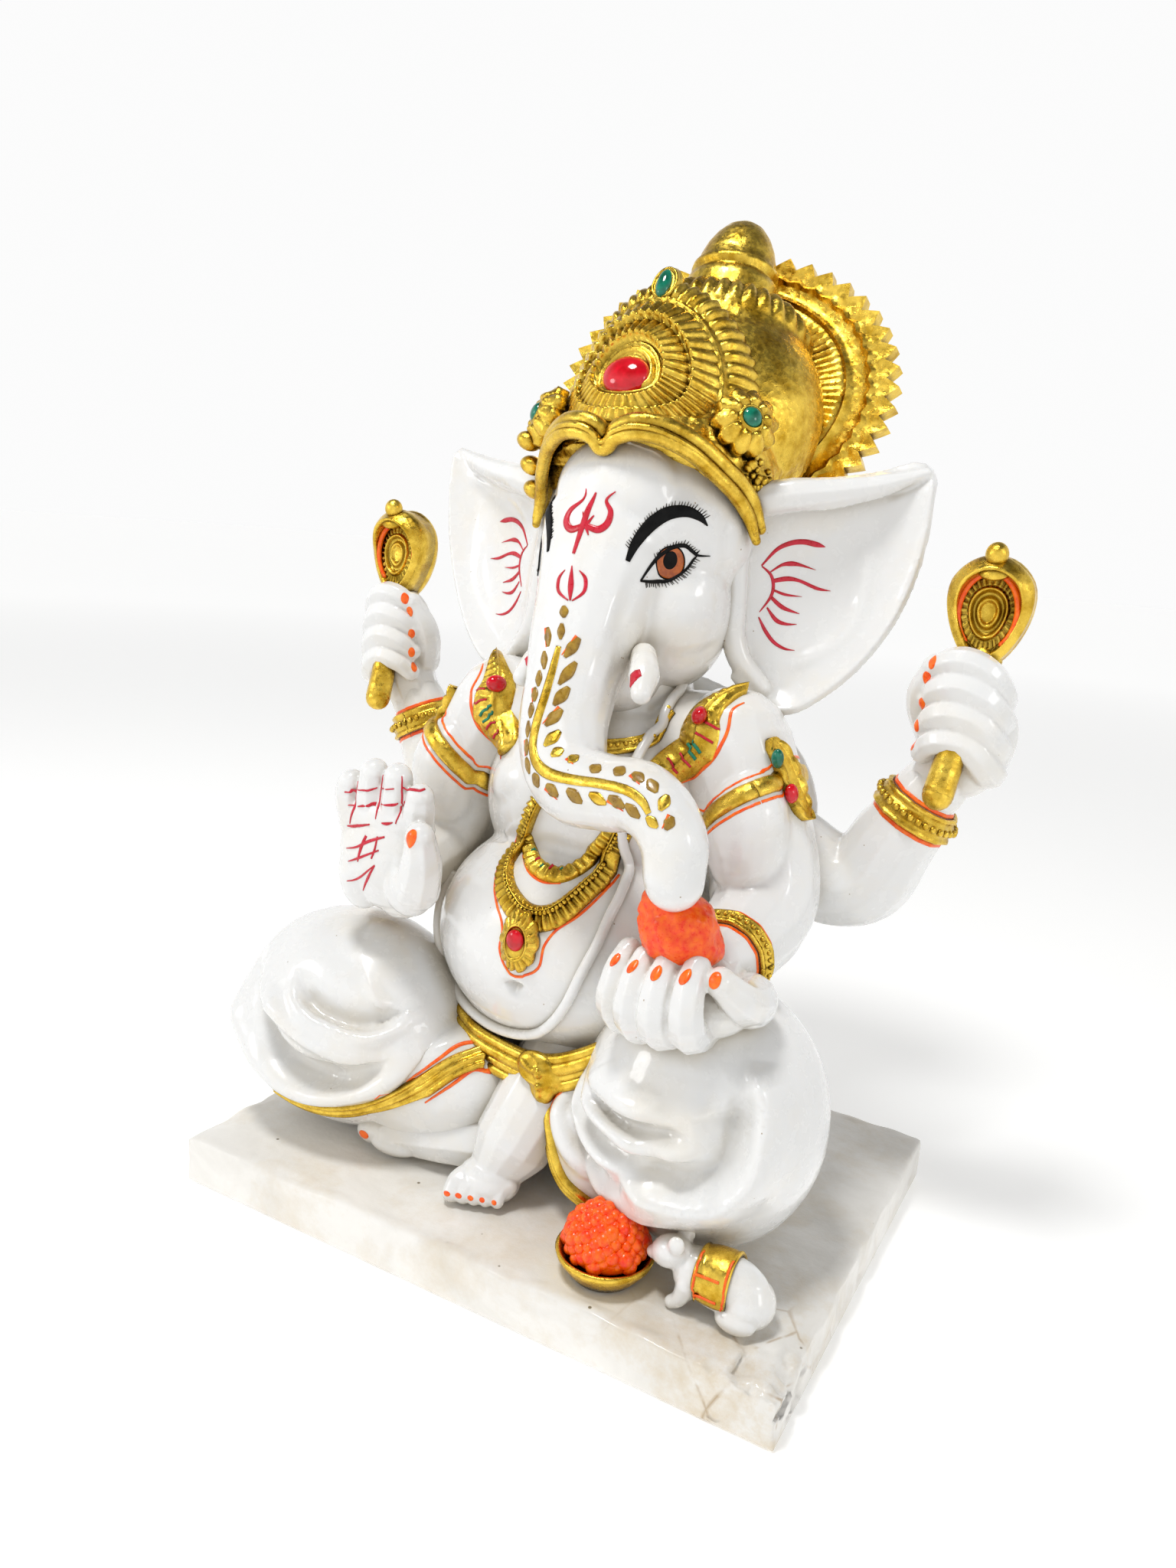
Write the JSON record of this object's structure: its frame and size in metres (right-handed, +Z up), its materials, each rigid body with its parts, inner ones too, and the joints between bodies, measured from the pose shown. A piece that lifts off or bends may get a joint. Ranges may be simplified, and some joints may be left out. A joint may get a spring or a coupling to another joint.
{
  "type": "ganesha idol",
  "caption": "Seated elephant-headed deity figure on a marble slab, white glossy casting with gilt crown, jewellery and hems, painted face, sweets and mouse.",
  "frame": {"origin": "centre of the slab's underside", "axes": "+Z up, the figure faces -Y, and its own left hand is on the +X side"},
  "size_m": [0.2408, 0.158, 0.3329],
  "materials": {
    "marble": "polished white marble, chipped and faintly stained",
    "white_resin": "gloss-lacquered white marble-dust casting with painted details",
    "gilt": "bright gold leaf paint with darker recesses",
    "red_stone": "gloss red enamelled stone",
    "green_stone": "gloss green enamelled stone",
    "orange_paint": "gloss orange paint"
  },
  "bodies": {
    "root": {"base_slab": "marble", "torso": "white_resin", "right_leg": "white_resin", "left_leg": "white_resin", "front_foot": "white_resin", "tucked_foot": "white_resin", "front_right_arm": "white_resin", "front_left_arm": "white_resin", "rear_right_arm": "white_resin", "rear_left_arm": "white_resin", "front_right_hand": "white_resin", "front_left_hand": "white_resin", "rear_right_fist": "white_resin", "rear_left_fist": "white_resin", "head_and_trunk": "white_resin", "right_ear": "white_resin", "left_ear": "white_resin", "right_tusk": "white_resin", "left_tusk": "white_resin", "sacred_thread": "white_resin", "mouse": "white_resin", "crown_brow_band": "gilt", "crown_rosette_right": "gilt", "crown_rosette_left": "gilt", "crown_medallion": "gilt", "crown_finial": "gilt", "crown_dome": "gilt", "crown_halo": "gilt", "belt_knot": "gilt", "waist_belt": "gilt", "right_hem": "gilt", "left_hem": "gilt", "short_necklace": "gilt", "long_necklace": "gilt", "collar_band": "gilt", "shoulder_pad_right": "gilt", "shoulder_pad_left": "gilt", "armlet_right": "gilt", "armlet_left": "gilt", "bangle_front_right": "gilt", "bangle_front_left": "gilt", "bangle_rear_right": "gilt", "bangle_rear_left": "gilt", "emblem_right": "gilt", "emblem_left": "gilt", "plate": "gilt", "saddle_cloth": "gilt", "crown_ruby": "red_stone", "pendant_ruby": "red_stone", "shoulder_ruby_right": "red_stone", "shoulder_ruby_left": "red_stone", "armlet_ruby": "red_stone", "crown_top_emerald": "green_stone", "rosette_emerald_right": "green_stone", "rosette_emerald_left": "green_stone", "armlet_emerald": "green_stone", "modak": "orange_paint", "laddoo_heap": "orange_paint"}
  },
  "joints": []
}
